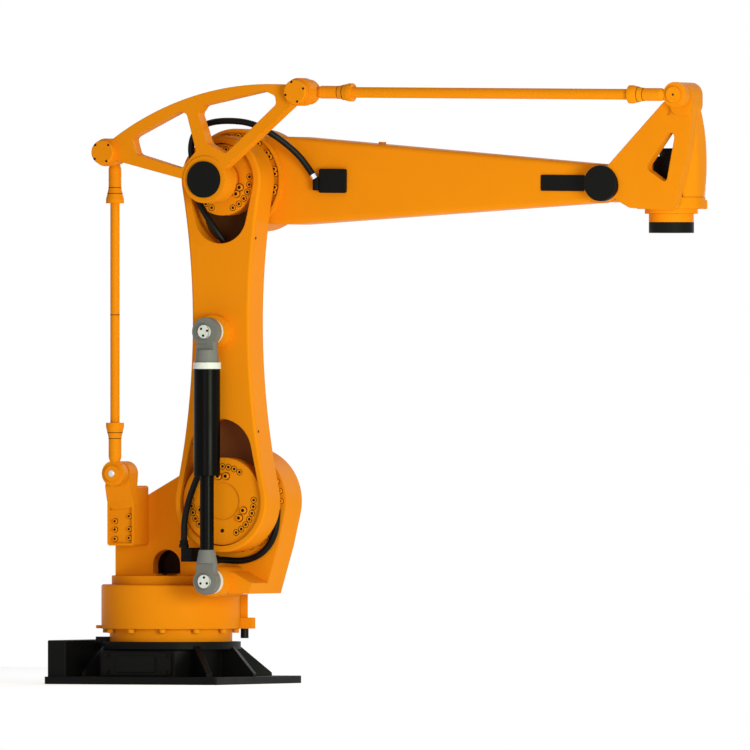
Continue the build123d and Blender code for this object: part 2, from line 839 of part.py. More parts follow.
def wrist_nose():
    """The front of the wrist, which sweeps from the round flange up and out to the lug."""
    band_top = -wrist_bottom + nose_band_height
    band = post(flange_offset, 0, nose_radius, -wrist_bottom, band_top)
    root = nose_radius - nose_step
    low = Pos(flange_offset, 0, band_top) * RectangleRounded(2 * root, 2 * root, 0.999 * root)
    waist = Pos(*nose_waist) * RectangleRounded(nose_waist_size, nose_waist_size, nose_waist_corner)
    high = Pos(rocker_front_x, wrist_lug_near + wrist_lug_depth / 2, wrist_lug_root_z)
    high *= RectangleRounded(2 * wrist_lug_radius, wrist_lug_depth, nose_top_corner)
    floor = -wrist_bottom + wrist_floor
    crown = hollow_front[-1][1]
    hollow = Polyline((-wrist_half_width, floor), *hollow_front, (-wrist_half_width, crown), close=True)
    solid = band + loft([low, waist, high])
    return solid - slab(make_face(hollow), 2 * wrist_lug_near, wrist_inner_half)


def wrist_housing():
    half = wrist_half_width
    sole = -wrist_bottom + wrist_sole_step
    floor = -wrist_bottom + wrist_floor
    lug = hull(
        (rocker_front_x, rocker_front_z, wrist_lug_radius),
        (rocker_front_x, wrist_lug_root_z, wrist_lug_radius),
    )
    far_cheek = hull(
        (0, 0, wrist_ear_radius),
        (flange_offset, wrist_far_radius, wrist_far_radius),
        (flange_offset, sole + wrist_toe_radius, wrist_toe_radius),
        (wrist_heel_x, sole + wrist_heel_radius, wrist_heel_radius),
    )
    body = wrist_nose() + wrist_lever(lug)
    body += slab(lug, wrist_lug_near, wrist_pin_far)
    body += slab(far_cheek, wrist_inner_half, half)
    spacer = bracket_pin_radius + pin_spacer_wall
    body += disc(rocker_front_x, rocker_front_z, spacer, rod_eye_far + running_gap, wrist_lug_near)
    body -= disc(rocker_front_x, rocker_front_z, bracket_pin_radius, rod_eye_far, wrist_pin_far)
    body -= disc(0, 0, pivot_pin_radius, -half - 1, half + 1)
    body += post(flange_offset, 0, ring_radius, -wrist_bottom - ring_height, floor)
    return Pos(pivot_x, 0, pivot_z) * body


def wrist_rod_pin():
    head_far = rod_eye_near - running_gap
    pin = disc(wrist_pin_x, wrist_pin_z, bracket_pin_radius, head_far, wrist_pin_far)
    return pin + disc(wrist_pin_x, wrist_pin_z, pin_head_radius, head_far - pin_head_height, head_far)


def wrist_caps():
    caps = []
    for side in (-1, 1):
        inner = side * wrist_half_width
        outer = side * (wrist_half_width + wrist_cap_height)
        cap = disc(pivot_x, pivot_z, wrist_cap_radius, min(inner, outer), max(inner, outer))
        rim = cap.edges().sort_by(Axis.Y)
        caps.append(fillet(rim[0] if side < 0 else rim[-1], wrist_cap_fillet))
    return caps


def wrist_motor():
    floor = pivot_z - wrist_bottom + wrist_floor
    outline = RectangleRounded(wrist_motor_size, wrist_motor_size, wrist_motor_corner)
    body = Pos(flange_x, 0, floor) * extrude(outline, amount=wrist_motor_height)
    top = floor + wrist_motor_height
    return body + post(flange_x, 0, wrist_motor_cap_radius, top, top + wrist_motor_cap_height)


def flange_neck():
    top = pivot_z - wrist_bottom - ring_height - running_gap
    return post(flange_x, 0, neck_radius, top - neck_height, top)


def tool_flange():
    top = pivot_z - wrist_bottom - ring_height - running_gap - neck_height
    bottom = top - tool_flange_height
    plate = post(flange_x, 0, tool_flange_radius, bottom, top)
    plate = fillet(plate.edges().group_by(Axis.Z)[0], tool_flange_fillet)
    hole = post(0, 0, tool_bolt_hole / 2, bottom - 1, bottom + tool_bolt_depth)
    for bolt in PolarLocations(tool_bolt_circle / 2, tool_bolt_count):
        plate -= Pos(flange_x, 0, 0) * bolt * hole
    return plate - post(flange_x, 0, tool_spigot_radius, bottom - 1, bottom + tool_spigot_depth)


def save(name, *solids):
    shape = solids[0] if len(solids) == 1 else Compound(children=list(solids))
    export_step(shape, f"parts/{name}.step")


# Base
save("base_plate", base_plate())
save("pedestal", pedestal())
save("side_cover", side_cover())
save("rear_cable_box", rear_cable_box())
save("base_ring", post(0, 0, base_ring_radius, pedestal_top, ring_top - running_gap))
save("stop_block", stop_block())

# Turret
save("turret_drum", turret_drum())
save("turret_casting", turret_casting())
save("tie_rod_bracket", tie_rod_bracket())
save("bracket_pin", bracket_pin())
flange_near = arm_far + running_gap
save("shoulder_flange", disc(shoulder_x, shoulder_z, shoulder_flange_radius, flange_near, wall_near))
save("shoulder_motor", servo_motor(shoulder_x - shoulder_motor_setback, shoulder_z, wall_far))
save("slew_motor", slew_motor())
save("spring_foot_pin", spring_pin(spring_foot_z, spring_boss_near, spring_foot_seat))
save("stop_lug", stop_lug())
bumper_x = stop_radius * math.cos(math.radians(stop_angle))
bumper_y = stop_radius * math.sin(math.radians(stop_angle))
save("stop_bumper", post(bumper_x, bumper_y, bumper_radius, ring_top - bumper_length, ring_top))

save("cable_block", block(
    cable_block_left, cable_block_right, cable_block_near, wall_near, cable_block_bottom, cable_block_top
))
start_x, start_y = shoulder_hose_start
route = [(shoulder_x + start_x, start_y, cable_block_top + running_gap)]
route += [(shoulder_x + x, y, shoulder_z + z) for x, y, z in shoulder_hose_route]
route += [(route[-1][0], disc_face - running_gap, route[-1][2])]
save("shoulder_hose", hose(route))

route = [(shoulder_x + x, under_hose_y, shoulder_z + z) for x, z in under_hose_route]
start = (cable_block_right + running_gap, under_hose_y, route[0][2])
save("under_arm_hose", hose([start] + route))

# Lower arm
save("lower_arm_casting", lower_arm())
save("shoulder_disc", window_disc(shoulder_z, foot_window_radius - disc_margin))
save("elbow_disc", window_disc(elbow_z, head_window_radius - disc_margin))
save("rocker_axle", rocker_axle())
save("spring_head_pin", spring_pin(spring_head_z, arm_near, 0))

save("window_hose", hose([(elbow_x + x, hose_plane + y, elbow_z + z) for x, y, z in window_hose_route]))

# Gas spring
head = Pos(spring_x, spring_plane, spring_head_z)
barrel_top = -barrel_start
collar_top = barrel_top + collar_height
tube = post(0, 0, barrel_radius, barrel_top - barrel_length, barrel_top)
tube -= post(0, 0, barrel_bore, barrel_top - barrel_length - 1, barrel_top - barrel_cap)
save("spring_barrel", head * fillet(tube.edges().group_by(Axis.Z)[0], barrel_lip_fillet))
save("spring_collar", head * post(0, 0, collar_radius, barrel_top, collar_top))
top_eye = spring_eye(head_eye_radius, -collar_top, barrel_radius - spring_neck_step)
save("spring_head_eye", head * Rot(180, 0, 0) * top_eye)
foot = Pos(spring_x, spring_plane, spring_foot_z)
save("spring_rod", foot * post(0, 0, spring_rod_radius, foot_neck_length, spring_rod_reach))
low_eye = spring_eye(foot_eye_radius, foot_neck_length, spring_rod_radius + spring_neck_step)
save("spring_foot_eye", foot * low_eye)

# Rocker
save("rocker_frame", rocker_frame())
save("rocker_hub_cap", disc(elbow_x, elbow_z, rocker_cap_radius, hub_near - rocker_cap_height, hub_near))
save("rocker_pins", *rocker_pins())

# Tie rods
rear_place = Location((bracket_pin_x, rod_plane, bracket_pin_z), (0, -90, 0))
front_place = Location((elbow_x + rocker_front_x, rod_plane, elbow_z + rocker_front_z), (0, forearm_droop, 0))
for name, place, length, radius in (
    ("rear_rod", rear_place, arm_length, rear_rod_radius),
    ("front_rod", front_place, forearm_length, front_rod_radius),
):
    near_end = rod_end(rod_neck_length - rod_collar_length, bracket_pin_radius + running_gap)
    far_end = Pos(length, 0, 0) * Rot(0, 180, 0) * near_end
    save(f"{name}_ends", place * near_end, place * far_end)
    bar = Rot(0, 90, 0) * post(0, 0, radius, rod_neck_length, length - rod_neck_length)
    save(f"{name}_tube", place * bar)

# Forearm
save("forearm_beam", forearm_place(forearm_beam()))
ring = disc(0, 0, elbow_radius, ring_rim_near, -forearm_half_width)
ring -= disc(0, 0, ring_rim_inner, ring_rim_near, ring_face_near)
ring += disc(0, 0, ring_hub_radius, arm_far + running_gap, -forearm_half_width)
save("elbow_ring", forearm_place(ring - disc(0, 0, ring_bore_radius, arm_far, -forearm_half_width)))
save("elbow_motor", forearm_place(servo_motor(0, 0, forearm_half_width)))
cover = beam_face(cover_center) * RectangleRounded(cover_length, cover_height, cover_corner)
cover = extrude(cover, amount=cover_thickness)
save("junction_cover", forearm_place(cover))
blank = beam_face(forearm_length - blank_setback) * RectangleRounded(blank_length, blank_height, blank_corner)
save("blank_plate", forearm_place(extrude(blank, amount=blank_thickness)))

save("elbow_hose", hose([(elbow_x + x, y, elbow_z + z) for x, y, z in elbow_hose_route]))

# Wrist and tool flange
save("wrist_housing", wrist_housing())
reach = wrist_half_width
save("wrist_pivot_pin", disc(pivot_x, pivot_z, pivot_pin_radius, -reach, reach))
save("wrist_caps", *wrist_caps())
save("wrist_rod_pin", wrist_rod_pin())
save("wrist_motor", wrist_motor())
save("flange_neck", flange_neck())
save("tool_flange", tool_flange())
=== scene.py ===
import bpy
import bmesh
import math
from mathutils import Matrix, Vector


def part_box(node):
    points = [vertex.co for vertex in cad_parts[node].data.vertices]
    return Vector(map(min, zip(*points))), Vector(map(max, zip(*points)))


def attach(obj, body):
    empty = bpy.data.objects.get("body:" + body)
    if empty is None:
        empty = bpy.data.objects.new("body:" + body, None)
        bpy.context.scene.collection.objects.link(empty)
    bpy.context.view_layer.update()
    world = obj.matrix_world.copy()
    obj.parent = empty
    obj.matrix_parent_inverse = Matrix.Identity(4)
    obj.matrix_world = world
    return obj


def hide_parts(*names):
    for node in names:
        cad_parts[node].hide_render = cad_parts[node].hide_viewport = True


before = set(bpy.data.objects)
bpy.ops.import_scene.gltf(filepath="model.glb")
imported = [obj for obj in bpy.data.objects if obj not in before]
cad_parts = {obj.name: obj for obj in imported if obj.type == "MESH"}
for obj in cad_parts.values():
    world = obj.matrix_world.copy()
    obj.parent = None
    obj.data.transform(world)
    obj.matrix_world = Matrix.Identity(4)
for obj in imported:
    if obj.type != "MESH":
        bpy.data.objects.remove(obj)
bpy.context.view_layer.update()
scene = bpy.context.scene
print("frame loaded:", len(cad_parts), "nodes")

# the arm's axes at rest, in metres: (x forwards, z up)
shoulder = (0.335, 0.685)
elbow = (0.335, 1.885)
wristPivot = (1.8549, 1.86776)
toolX = 2.0749
spring = {"x": 0.322, "head": 1.318, "foot": 0.386}

# tie-rod pins, as offsets from the axis that each swings round
frontPin = (0.388, 0.325)
rearPin = (-0.413, 0.103)


def pinAt(axis, offset):
    return axis[0] + offset[0], axis[1] + offset[1]


rockerFront = pinAt(elbow, frontPin)
rockerRear = pinAt(elbow, rearPin)
bracketPin = pinAt(shoulder, rearPin)
wristPin = pinAt(wristPivot, frontPin)

# camera: level, 26 degrees round from the near side, a very long lens
view = {"azimuth": 26.0, "lens": 1200.0, "sensor": 36.0, "mmPerPixel": 3.73, "imageWidth": 750,
        "right": 0.76465, "height": 1.1563, "depth": -0.45, "clipStart": 1.0, "clipFactor": 3}
turn = math.radians(view["azimuth"])
rightWay = Vector((math.cos(turn), math.sin(turn), 0))
lookWay = Vector((-math.sin(turn), math.cos(turn), 0))
span = view["mmPerPixel"] * view["imageWidth"] / 1000
away = view["lens"] * span / view["sensor"]
aim = rightWay * view["right"] + lookWay * view["depth"] + Vector((0, 0, view["height"]))
cameraData = bpy.data.cameras.new("photoCamera")
cameraData.sensor_width = view["sensor"]
cameraData.lens = view["lens"]
cameraData.clip_start = view["clipStart"]
cameraData.clip_end = away * view["clipFactor"]
camera = bpy.data.objects.new("photoCamera", cameraData)
camera.location = aim - lookWay * away
camera.rotation_mode = "QUATERNION"
camera.rotation_quaternion = lookWay.to_track_quat("-Z", "Y")
scene.collection.objects.link(camera)
scene.camera = camera
print("camera placed", round(away, 1), "m away")

# surround: white where it is seen, straight or in a reflection, and a weak ambient light otherwise
white = (1, 1, 1, 1)
surround = {"tone": (0.98, 0.99, 1.0), "strength": 0.22, "seenStrength": 1.0}
scene.view_settings.view_transform = "Standard"
world = bpy.data.worlds.new("studio")
world.use_nodes = True
scene.world = world
tree = world.node_tree
tree.nodes.clear()
rays = tree.nodes.new("ShaderNodeLightPath")
ambient = tree.nodes.new("ShaderNodeBackground")
ambient.inputs["Color"].default_value = (*surround["tone"], 1)
ambient.inputs["Strength"].default_value = surround["strength"]
backdrop = tree.nodes.new("ShaderNodeBackground")
backdrop.inputs["Color"].default_value = white
backdrop.inputs["Strength"].default_value = surround["seenStrength"]
indirect = tree.nodes.new("ShaderNodeMath")
indirect.operation = "MAXIMUM"
anyRay = tree.nodes.new("ShaderNodeMath")
anyRay.operation = "MAXIMUM"
pick = tree.nodes.new("ShaderNodeMixShader")
output = tree.nodes.new("ShaderNodeOutputWorld")
tree.links.new(rays.outputs["Is Transmission Ray"], indirect.inputs[0])
tree.links.new(rays.outputs["Is Glossy Ray"], indirect.inputs[1])
tree.links.new(rays.outputs["Is Camera Ray"], anyRay.inputs[0])
tree.links.new(indirect.outputs[0], anyRay.inputs[1])
tree.links.new(anyRay.outputs[0], pick.inputs[0])
tree.links.new(ambient.outputs[0], pick.inputs[1])
tree.links.new(backdrop.outputs[0], pick.inputs[2])
tree.links.new(pick.outputs[0], output.inputs["Surface"])

# lamps: a low one from the right, one in front and two weak ones behind and above
lampAim = Vector((0.8, -0.2, 1.1))
lamps = {
    "keyLamp": {"at": (7.9, -5.5, 0.9), "size": 3.2, "power": 600, "tone": (0.87, 1.0, 0.70)},
    "frontLamp": {"at": (1.6, -9.0, 1.4), "size": 3.2, "power": 100, "tone": (1.0, 0.93, 0.82)},
    "backLamp": {"at": (1.8, 5.4, 2.8), "size": 3.5, "power": 90, "tone": (1.0, 1.0, 1.0)},
    "topLamp": {"at": (2.6, -2.4, 5.6), "size": 3.5, "power": 60, "tone": (1.0, 1.0, 1.0)},
}
for name, lamp in lamps.items():
    lampData = bpy.data.lights.new(name, "AREA")
    lampData.size = lamp["size"]
    lampData.energy = lamp["power"]
    lampData.color = lamp["tone"]
    light = bpy.data.objects.new(name, lampData)
    light.location = lamp["at"]
    light.rotation_mode = "QUATERNION"
    light.rotation_quaternion = (lampAim - Vector(lamp["at"])).to_track_quat("-Z", "Y")
    scene.collection.objects.link(light)
print("studio lit by", len(lamps), "lamps")

# finishes
noTint = (1.0, 1.0, 1.0)
noiseSpan = (0.3, 0.7)  # the stretch of the noise that the ramps use
edgeSamples = 4  # of the shading that softens edges


def newFinish(name, tone, rough, metal=0.0, shine=0.5, tint=noTint):
    finish = bpy.data.materials.new(name)
    finish.use_nodes = True
    shader = finish.node_tree.nodes["Principled BSDF"]
    shader.inputs["Base Color"].default_value = (*tone, 1)
    shader.inputs["Roughness"].default_value = rough
    shader.inputs["Metallic"].default_value = metal
    shader.inputs["Specular IOR Level"].default_value = shine
    shader.inputs["Specular Tint"].default_value = (*tint, 1)
    return finish, finish.node_tree, shader


def grain(tree, scale, detail, stretch=None):
    where = tree.nodes.new("ShaderNodeTexCoord")
    noise = tree.nodes.new("ShaderNodeTexNoise")
    noise.inputs["Scale"].default_value = scale
    noise.inputs["Detail"].default_value = detail
    source = where.outputs["Object"]
    if stretch:
        mapping = tree.nodes.new("ShaderNodeMapping")
        mapping.inputs["Scale"].default_value = stretch
        tree.links.new(source, mapping.inputs["Vector"])
        source = mapping.outputs["Vector"]
    tree.links.new(source, noise.inputs["Vector"])
    return noise.outputs["Fac"]


def between(tree, source, low, high):
    ramp = tree.nodes.new("ShaderNodeMapRange")
    ramp.inputs["From Min"].default_value = noiseSpan[0]
    ramp.inputs["From Max"].default_value = noiseSpan[1]
    ramp.inputs["To Min"].default_value = low
    ramp.inputs["To Max"].default_value = high
    tree.links.new(source, ramp.inputs["Value"])
    return ramp.outputs["Result"]


def toned(tree, shader, source, dark, pale):
    ramp = tree.nodes.new("ShaderNodeValToRGB")
    for stop, position, tone in zip(ramp.color_ramp.elements, noiseSpan, (dark, pale)):
        stop.position = position
        stop.color = (*tone, 1)
    tree.links.new(source, ramp.inputs["Fac"])
    tree.links.new(ramp.outputs["Color"], shader.inputs["Base Color"])


def raised(tree, shader, source, depth, strength, edge=0.0):
    bump = tree.nodes.new("ShaderNodeBump")
    bump.inputs["Strength"].default_value = strength
    bump.inputs["Distance"].default_value = depth
    tree.links.new(source, bump.inputs["Height"])
    if edge:
        rounding = tree.nodes.new("ShaderNodeBevel")
        rounding.samples = edgeSamples
        rounding.inputs["Radius"].default_value = edge
        tree.links.new(rounding.outputs["Normal"], bump.inputs["Normal"])
    tree.links.new(bump.outputs["Normal"], shader.inputs["Normal"])


# what all paints share: slow drift of tone, patchy roughness, fine bump
paintGrain = {"toneScale": 2.2, "toneDetail": 4.0, "roughScale": 9.0, "roughDetail": 5.0,
              "bumpDetail": 2.0, "bumpStrength": 0.25}


def paint(name, look):
    finish, tree, shader = newFinish(name, look["pale"], look["rough"][0], shine=look["shine"],
                                     tint=look.get("tint", noTint))
    drift = grain(tree, paintGrain["toneScale"], paintGrain["toneDetail"])
    toned(tree, shader, drift, look["dark"], look["pale"])
    patches = grain(tree, paintGrain["roughScale"], paintGrain["roughDetail"])
    tree.links.new(between(tree, patches, *look["rough"]), shader.inputs["Roughness"])
    pimples = grain(tree, look["grain"], paintGrain["bumpDetail"])
    raised(tree, shader, pimples, look["depth"], paintGrain["bumpStrength"], look["edge"])
    return finish


amber = (1.0, 0.72, 0.22)
paints = {
    "orangePaint": {"dark": (0.76, 0.228, 0.005), "pale": (0.81, 0.248, 0.006), "rough": (0.32, 0.40),
                    "grain": 300.0, "depth": 0.0001, "edge": 0.003, "shine": 0.025, "tint": amber},
    "castOrange": {"dark": (0.75, 0.224, 0.005), "pale": (0.80, 0.244, 0.006), "rough": (0.34, 0.44),
                   "grain": 220.0, "depth": 0.0003, "edge": 0.005, "shine": 0.015, "tint": amber},
    "boltOrange": {"dark": (0.78, 0.245, 0.006), "pale": (0.84, 0.280, 0.008), "rough": (0.32, 0.45),
                   "grain": 500.0, "depth": 0.0001, "edge": 0.0, "shine": 0.06, "tint": amber},
    # painted shade for the backs of the arm windows: lighter for the shoulder window, darker for the elbow
    # window
    "paintedShadeBronze": {"dark": (0.150, 0.046, 0.014), "pale": (0.175, 0.054, 0.016), "rough": (0.6, 0.8),
                    "grain": 260.0, "depth": 0.0003, "edge": 0.0, "shine": 0.05},
    "paintedShadeBrown": {"dark": (0.060, 0.022, 0.007), "pale": (0.075, 0.027, 0.008), "rough": (0.6, 0.8),
                   "grain": 260.0, "depth": 0.0003, "edge": 0.0, "shine": 0.05},
    "pedestalBlack": {"dark": (0.0022, 0.0021, 0.0022), "pale": (0.0042, 0.0040, 0.0042),
                      "rough": (0.42, 0.55), "grain": 300.0, "depth": 0.0004, "edge": 0.003, "shine": 0.07},
    "motorBlack": {"dark": (0.004, 0.004, 0.0045), "pale": (0.007, 0.007, 0.0075), "rough": (0.42, 0.55),
                   "grain": 350.0, "depth": 0.0004, "edge": 0.002, "shine": 0.10},
    "capBlack": {"dark": (0.0044, 0.0044, 0.0042), "pale": (0.0064, 0.0064, 0.0062), "rough": (0.45, 0.6),
                 "grain": 600.0, "depth": 0.0003, "edge": 0.002, "shine": 0.06},
    "springBlack": {"dark": (0.0010, 0.0008, 0.0008), "pale": (0.0018, 0.0016, 0.0016),
                    "rough": (0.24, 0.32), "grain": 500.0, "depth": 0.0001, "edge": 0.001, "shine": 0.05},
    "rubberBlack": {"dark": (0.0020, 0.0019, 0.0019), "pale": (0.0036, 0.0035, 0.0035),
                    "rough": (0.34, 0.5), "grain": 700.0, "depth": 0.0003, "edge": 0.0, "shine": 0.12},
    # dark trim and painted shade: painted shade in screw sockets, under screw heads, at hole ends, inside the
    # turret arch and in the tie-rod seams; also the dark of small screws, a plug and a centre mark
    "darkTrimAndPaintedShade": {"dark": (0.016, 0.006, 0.003), "pale": (0.028, 0.011, 0.005), "rough": (0.6, 0.8),
                   "grain": 700.0, "depth": 0.0002, "edge": 0.0, "shine": 0.05},
    "castGrey": {"dark": (0.135, 0.130, 0.126), "pale": (0.185, 0.180, 0.172), "rough": (0.42, 0.55),
                 "grain": 300.0, "depth": 0.0005, "edge": 0.003, "shine": 0.2},
    # painted shade of the grooves and slot on the spring eyes
    "grooveShadeGrey": {"dark": (0.060, 0.058, 0.056), "pale": (0.080, 0.078, 0.075), "rough": (0.5, 0.65),
                   "grain": 300.0, "depth": 0.0003, "edge": 0.0, "shine": 0.1},
    "washerWhite": {"dark": (0.62, 0.62, 0.60), "pale": (0.70, 0.70, 0.68), "rough": (0.35, 0.45),
                    "grain": 500.0, "depth": 0.0001, "edge": 0.001, "shine": 0.3},
}
finishes = {name: paint(name, look) for name, look in paints.items()}

steel = {"tone": (0.62, 0.62, 0.63), "dark": (0.54, 0.54, 0.55), "pale": (0.70, 0.70, 0.71), "rough": 0.28,
         "roughSpan": (0.22, 0.38), "grain": 60.0, "detail": 2.0, "stretch": (1.0, 14.0, 1.0),
         "depth": 0.0002, "strength": 0.2}


def machinedSteel():
    finish, tree, shader = newFinish("machinedSteel", steel["tone"], steel["rough"], metal=1.0)
    lines = grain(tree, steel["grain"], steel["detail"], steel["stretch"])
    toned(tree, shader, lines, steel["dark"], steel["pale"])
    tree.links.new(between(tree, lines, *steel["roughSpan"]), shader.inputs["Roughness"])
    raised(tree, shader, lines, steel["depth"], steel["strength"])
    return finish


finishes["machinedSteel"] = machinedSteel()
print("finishes made:", len(finishes))

# each carried-over CAD piece gets its finish
worn = {
    "castOrange": ["turret_casting", "lower_arm_casting", "wrist_housing", "tie_rod_bracket", "rocker_frame",
                   "forearm_beam"],
    "orangePaint": ["base_ring", "turret_drum", "shoulder_flange", "stop_lug", "shoulder_disc", "elbow_disc",
                    "rocker_pins", "rear_rod_ends", "rear_rod_tube", "front_rod_ends", "front_rod_tube",
                    "elbow_ring", "flange_neck", "bracket_pin", "wrist_rod_pin", "rocker_axle"],
    "pedestalBlack": ["base_plate", "pedestal", "side_cover", "rear_cable_box", "stop_block"],
    "motorBlack": ["shoulder_motor", "slew_motor", "elbow_motor", "wrist_motor"],
    "capBlack": ["cable_block", "rocker_hub_cap", "wrist_caps", "junction_cover", "blank_plate",
                 "tool_flange"],
    "springBlack": ["spring_barrel", "spring_rod"],
    "castGrey": ["spring_head_eye", "spring_foot_eye"],
    "washerWhite": ["spring_collar", "spring_head_pin", "spring_foot_pin"],
    "rubberBlack": ["shoulder_hose", "under_arm_hose", "window_hose", "elbow_hose", "stop_bumper"],
    "machinedSteel": ["wrist_pivot_pin"],
}
for look, nodes in worn.items():
    for node in nodes:
        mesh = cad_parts[node].data
        mesh.materials.clear()
        mesh.materials.append(finishes[look])
print("CAD pieces finished:", sum(len(nodes) for nodes in worn.values()))

sharpAngle = math.radians(35)
mergeGap = 1e-6
nearWay = (0, -1, 0)
zAxis = Vector((0, 0, 1))


def nearOf(node):
    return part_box(node)[0].y


def register(piece, body, looks):
    for look in looks:
        piece.data.materials.append(finishes[look])
    scene.collection.objects.link(piece)
    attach(piece, body)


def addPiece(name, bm, body, slot, *looks):
    mesh = bpy.data.meshes.new(name)
    bmesh.ops.recalc_face_normals(bm, faces=bm.faces)
    for face in bm.faces:
        face.smooth = True
    for edge in bm.edges:
        if len(edge.link_faces) == 2 and edge.calc_face_angle() > sharpAngle:
            edge.smooth = False
    bm.to_mesh(mesh)
    bm.free()
    register(bpy.data.objects.new(name, mesh), body, looks)


# a place whose own z axis points the given way
def facing(at, way):
    return Matrix.Translation(Vector(at)) @ Vector(way).to_track_quat("Z", "Y").to_matrix().to_4x4()


# a turned shape: profile of (radius, height) points spun round the place's own z axis
def addTurned(bm, place, profile, steps=40):
    verts = [bm.verts.new(place @ Vector((r, 0, h))) for r, h in profile]
    edges = [bm.edges.new(pair) for pair in zip(verts, verts[1:])]
    bmesh.ops.spin(bm, geom=verts + edges, cent=place.translation, axis=place.to_3x3() @ zAxis,
                   angle=2 * math.pi, steps=steps, use_merge=True)
    bmesh.ops.remove_doubles(bm, verts=bm.verts, dist=mergeGap)


def ringProfile(inside, outside, low, high):
    return [(inside, low), (outside, low), (outside, high), (inside, high), (inside, low)]


def addBlock(bm, place, size, edge):
    made = bmesh.ops.create_cube(bm, size=1.0, matrix=place @ Matrix.Diagonal((*size, 1)))
    edges = list({e for v in made["verts"] for e in v.link_edges})
    bmesh.ops.bevel(bm, geom=edges, offset=edge, segments=3, profile=0.5, affect="EDGES", material=-1)


# a socket-head screw with painted shade in its socket and on the ring under its head: shares of its radius,
# or of its height for depth and the limits
screwShape = {"sides": 14, "chamfer": 0.14, "crown": 0.12, "crownLimit": 0.2, "land": 0.30, "draft": 0.04,
              "depth": 0.55, "seatSides": 18, "seat": 1.24, "seatLimit": 0.4, "seatMetres": 0.0006}


def addCylinder(bm, place, radius, height, sides):
    made = bmesh.ops.create_cone(bm, cap_ends=True, segments=sides, radius1=radius, radius2=radius,
                                 depth=height, matrix=place @ Matrix.Translation((0, 0, height / 2)))
    return {f for v in made["verts"] for f in v.link_faces}


def addScrew(bm, place, radius, height):
    faces = addCylinder(bm, place, radius, height, screwShape["sides"])
    way = place.to_3x3() @ zAxis
    bm.normal_update()
    top = max(faces, key=lambda f: f.calc_center_median().dot(way))
    crown = min(radius * screwShape["crown"], height * screwShape["crownLimit"])
    bmesh.ops.inset_region(bm, faces=[top], thickness=radius * screwShape["chamfer"], depth=crown)
    bmesh.ops.inset_region(bm, faces=[top], thickness=radius * screwShape["land"], depth=0)
    sunk = bmesh.ops.inset_region(bm, faces=[top], thickness=radius * screwShape["draft"],
                                  depth=-height * screwShape["depth"])
    rim = min(screwShape["seatMetres"], height * screwShape["seatLimit"])
    seat = addCylinder(bm, place, radius * screwShape["seat"], rim, screwShape["seatSides"])
    # the socket's floor and walls and the ring under the head get painted shade
    for face in [top, *sunk["faces"], *seat]:
        face.material_index = 1


def ringSpots(center, y, radius, angles):
    turns = [math.radians(a) for a in angles]
    return [((center[0] + radius * math.cos(t), y, center[1] + radius * math.sin(t)), nearWay) for t in turns]


def addScrews(name, body, spots, radius, height, slot="orange_paint", look="boltOrange"):
    bm = bmesh.new()
    for at, way in spots:
        addScrew(bm, facing(at, way), radius, height)
    addPiece(name, bm, body, slot, look, "darkTrimAndPaintedShade")


# low dark discs: painted shade at the ends of tapped holes, and small dark countersunk screws
dotShape = {"sides": 16, "height": 0.0012, "wall": 0.6, "top": 0.8}


def addDots(name, body, spots, radius, slot="black_trim", look="darkTrimAndPaintedShade", height=dotShape["height"]):
    profile = [(0, 0), (radius, 0), (radius, height * dotShape["wall"]), (radius * dotShape["top"], height),
               (0, height)]
    bm = bmesh.new()
    for at, way in spots:
        addTurned(bm, facing(at, way), profile, dotShape["sides"])
    addPiece(name, bm, body, slot, look)


# reducer screws in the two arm windows: three groups round the disc, sunk flush so that the hose end
# clears them, with two larger proud ones inside each group
discScrews = {"groups": (-31, 90, 210), "shoulderR": 0.130, "shoulderStep": 11.0, "shoulderCount": 7,
              "elbowR": 0.113, "elbowStep": 14.6, "elbowCount": 6, "size": 0.0102, "flush": 0.0002,
              "height": 0.009, "shoulderInner": 0.095, "elbowInner": 0.080, "innerSpread": 10.0,
              "innerSize": 0.012}


def groupAngles(step, count):
    return [middle + (i - (count - 1) / 2) * step for middle in discScrews["groups"] for i in range(count)]


spread = discScrews["innerSpread"]
pairAngles = [middle + side * spread for middle in discScrews["groups"] for side in (-1, 1)]
for joint, center in (("shoulder", shoulder), ("elbow", elbow)):
    discFace = nearOf(joint + "_disc")
    outer = groupAngles(discScrews[joint + "Step"], discScrews[joint + "Count"])
    addScrews(joint + "DiscScrews", "lower_arm", ringSpots(center, discFace, discScrews[joint + "R"], outer),
              discScrews["size"], discScrews["flush"])
    addScrews(joint + "DiscInnerScrews", "lower_arm",
              ringSpots(center, discFace, discScrews[joint + "Inner"], pairAngles),
              discScrews["innerSize"], discScrews["height"])
print("reducer screws placed")

# plug low on the shoulder disc
discPlug = {"radius": 0.0075, "out": 0.110, "angle": -90}
addDots("discPlug", "lower_arm",
        ringSpots(shoulder, nearOf("shoulder_disc"), discPlug["out"], (discPlug["angle"],)),
        discPlug["radius"])

# painted shade of tapped holes along the arm's front flank, which runs in to a waist between its two round
# ends
flank = {"footR": 0.191, "headR": 0.165, "waistR": 2.9, "rises": (0.260, 0.982), "y": -0.236,
         "radius": 0.0055}


def armHalf(rise):
    length = elbow[1] - shoulder[1]
    toFoot = flank["footR"] + flank["waistR"]
    toHead = flank["headR"] + flank["waistR"]
    waist = (length ** 2 + toFoot ** 2 - toHead ** 2) / (2 * length)
    return math.sqrt(toFoot ** 2 - waist ** 2) - math.sqrt(flank["waistR"] ** 2 - (rise - waist) ** 2)


addDots("flankHoles", "lower_arm",
        [((shoulder[0] + armHalf(r), flank["y"], shoulder[1] + r), (1, 0, 0)) for r in flank["rises"]],
        flank["radius"])
print("arm plugs placed")
